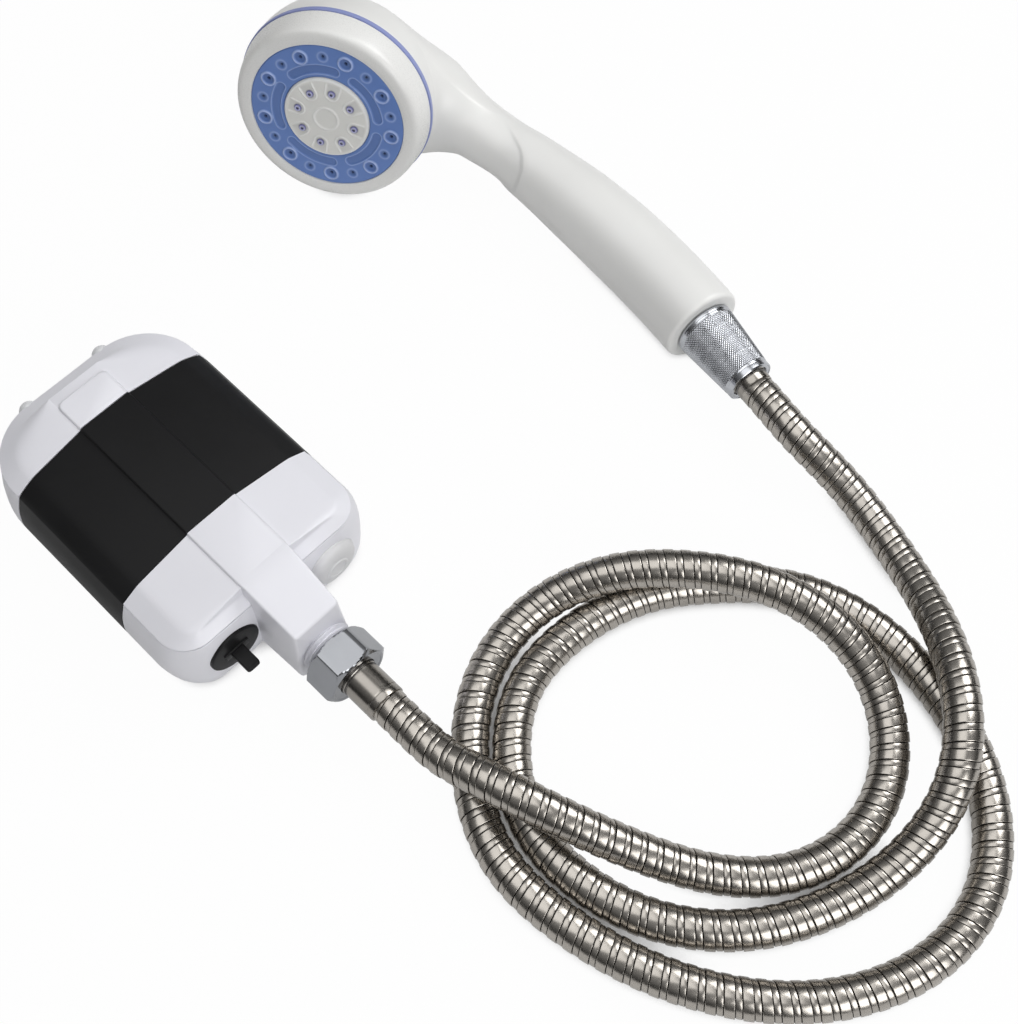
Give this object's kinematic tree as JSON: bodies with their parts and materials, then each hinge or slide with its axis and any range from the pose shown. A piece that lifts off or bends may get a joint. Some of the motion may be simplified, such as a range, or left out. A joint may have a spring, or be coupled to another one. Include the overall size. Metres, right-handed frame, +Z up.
{
  "type": "camp shower pump",
  "caption": "Battery shower pump with a rubber grip band, a ribbed metal hose laid in loops and a hand shower with a turning spray face.",
  "frame": {"origin": "centre of the pump's flat back, which rests on the table", "axes": "+X along the pump to its hose outlet, +Y to the side of the power button, +Z up from the back"},
  "size_m": [0.4334, 0.2646, 0.0806],
  "materials": {
    "pump_white": "smooth moulded, slightly lavender white",
    "band_black": "satin soft-touch rubber",
    "seal_grey": "soft gasket",
    "screw_steel": "plain steel",
    "foot_clear": "milky soft rubber",
    "foam_black": "open foam",
    "works_white": "plain moulded",
    "works_grey": "plain moulded",
    "washer_black": "plain rubber",
    "motor_steel": "drawn can",
    "cell_wrap": "wrapped can",
    "board_green": "coated board",
    "switch_black": "plain moulded",
    "button_grey": "soft pad",
    "plug_black": "satin rubber",
    "nut_chrome": "polished plating",
    "hose_steel": "polished stainless strip",
    "liner_grey": "plain tube",
    "handset_white": "glossy white",
    "disc_white": "glossy pale",
    "ring_blue": "satin blue",
    "seam_blue": "satin pale blue",
    "nozzle_grey": "soft nozzles"
  },
  "bodies": {
    "shower_set": {"rear_shell": "pump_white", "front_shell": "pump_white", "outlet_spout": "pump_white", "grip_band": "band_black", "shell_seal": "seal_grey", "shell_screws": "screw_steel", "face_screw": "screw_steel", "feet": "foot_clear", "filter_foam": "foam_black", "pump_chamber": "works_white", "delivery_tube": "works_white", "bulkhead": "works_white", "battery_cradle": "works_white", "selector_disc": "works_white", "shaft_seal": "washer_black", "pump_washer": "washer_black", "head_washer": "washer_black", "head_seal": "washer_black", "motor": "motor_steel", "battery_cell": "cell_wrap", "circuit_board": "board_green", "switch_body": "switch_black", "charge_socket": "switch_black", "hose": "hose_steel", "pump_ferrule": "hose_steel", "head_ferrule": "hose_steel", "hose_liner": "liner_grey", "handle_body": "handset_white", "handle_nipple": "handset_white", "seam_ring": "seam_blue"},
    "power_button": {"power_button": "button_grey"},
    "switch_plunger": {"switch_plunger": "works_grey"},
    "charge_plug": {"charge_plug": "plug_black"},
    "intake_grille": {"intake_grille": "pump_white"},
    "impeller": {"impeller": "works_grey", "motor_shaft": "screw_steel"},
    "hex_nut": {"hex_nut": "nut_chrome"},
    "cone_nut": {"cone_nut": "nut_chrome"},
    "spray_face": {"spray_bezel": "handset_white", "nozzle_ring": "ring_blue", "centre_disc": "disc_white", "centre_nozzles": "nozzle_grey", "face_plate": "works_white"}
  },
  "joints": [
    {"name": "button_press", "type": "slide", "parent": "shower_set", "child": "power_button", "axis": [-1, 0, 0], "range_m": [0, 0.0006], "stiffness_N_per_m": 1200},
    {"name": "switch_press", "type": "slide", "parent": "shower_set", "child": "switch_plunger", "axis": [-1, 0, 0], "range_m": [0, 0.0006]},
    {"name": "plug_pull", "type": "slide", "parent": "shower_set", "child": "charge_plug", "axis": [1, 0, 0], "range_m": [0, 0.012]},
    {"name": "grille_pull", "type": "slide", "parent": "shower_set", "child": "intake_grille", "axis": [-1, 0, 0], "range_m": [0, 0.012]},
    {"name": "impeller_spin", "type": "hinge", "parent": "shower_set", "child": "impeller", "pos_m": [0, -0.0168, 0.0195], "axis": [1, 0, 0], "continuous": true},
    {"name": "hex_nut_turn", "type": "hinge", "parent": "shower_set", "child": "hex_nut", "pos_m": [0.09, 0, 0.0195], "axis": [1, 0, 0], "continuous": true},
    {"name": "cone_nut_turn", "type": "hinge", "parent": "shower_set", "child": "cone_nut", "pos_m": [0.08836, 0.19491, 0.01703], "axis": [0.978, -0.2082, 0.0098], "continuous": true},
    {"name": "face_turn", "type": "hinge", "parent": "shower_set", "child": "spray_face", "pos_m": [-0.0756, 0.1483, 0.04412], "axis": [0.4913, -0.8309, 0.2611], "continuous": true}
  ],
  "couplings": [
    {"joint": "switch_press", "follows": "button_press", "ratio": 1}
  ]
}
